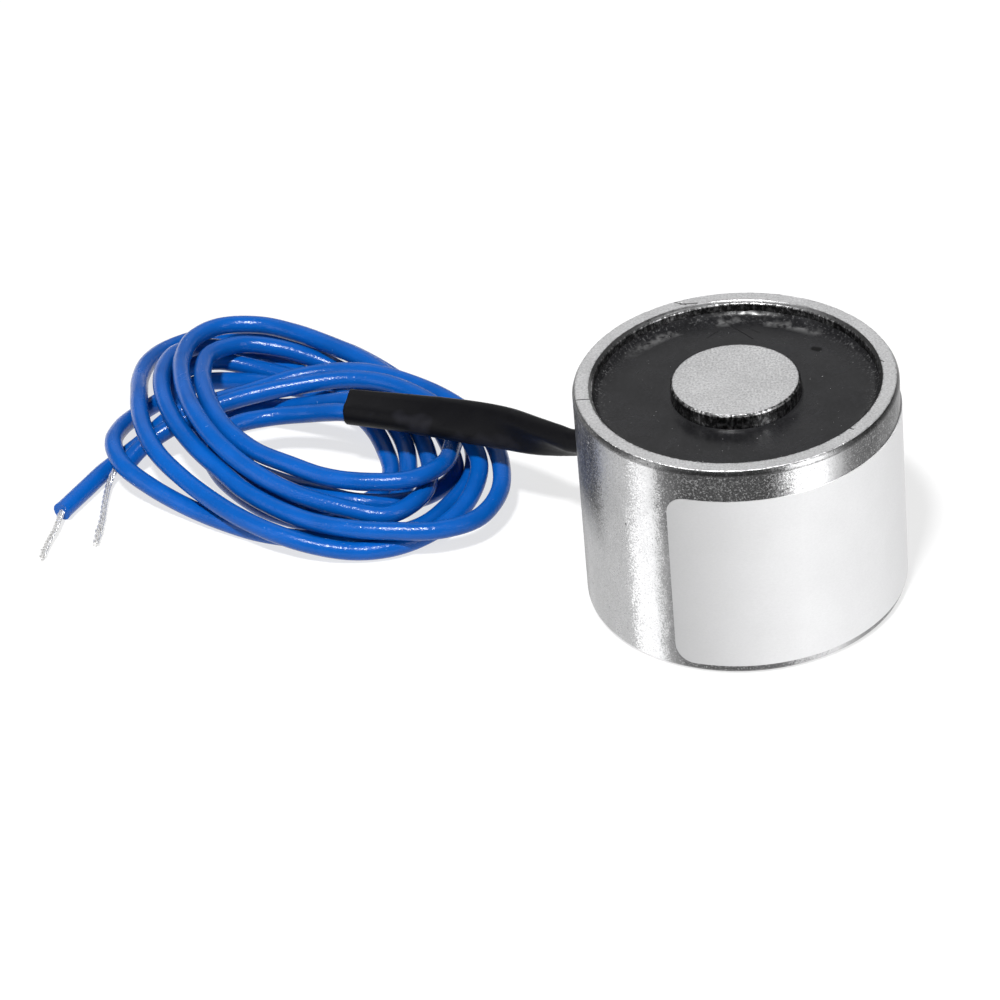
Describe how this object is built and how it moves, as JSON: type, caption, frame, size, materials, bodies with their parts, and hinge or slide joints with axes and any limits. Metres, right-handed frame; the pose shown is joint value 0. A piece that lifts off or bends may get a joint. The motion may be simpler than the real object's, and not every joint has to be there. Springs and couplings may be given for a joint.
{
  "type": "holding electromagnet",
  "caption": "Small round holding electromagnet: a turned steel cup with a centre pole and resin-cast coil, a bare wrap-round label, and flying leads in a short sleeve.",
  "frame": {"origin": "centre of the cup's base, on the surface it stands on, without the leads", "axes": "+Z along the pole towards the working face; -Y towards the viewer of the picture, +X to the right, the leads leave towards -X +Y"},
  "size_m": [0.055, 0.0427, 0.015],
  "materials": {
    "plated_steel": "satin plated",
    "nylon": "moulded",
    "copper": "enamelled copper wire",
    "polyester_tape": "adhesive tape",
    "black_resin": "cast, glossy",
    "label_film": "satin film, bare",
    "black_sleeve": "shrink tubing",
    "blue_pvc": "extruded, glossy",
    "tinned_copper": "twisted tinned strands",
    "solder": "solder",
    "joint_tubing": "insulating tubing"
  },
  "bodies": {
    "root": {"cup_shell": "plated_steel", "pole_core": "plated_steel", "bobbin": "nylon", "coil_winding": "copper", "winding_tape": "polyester_tape", "resin_fill": "black_resin", "label": "label_film", "lead_sleeve": "black_sleeve", "lead_a": "blue_pvc", "lead_b": "blue_pvc", "lead_loops": "blue_pvc", "lead_a_tail": "blue_pvc", "stripped_end_a": "tinned_copper", "stripped_end_b": "tinned_copper", "solder_joint_a": "solder", "solder_joint_b": "solder", "joint_tubing_a": "joint_tubing", "joint_tubing_b": "joint_tubing", "winding_tail_a": "copper", "winding_tail_b": "copper"}
  },
  "joints": []
}
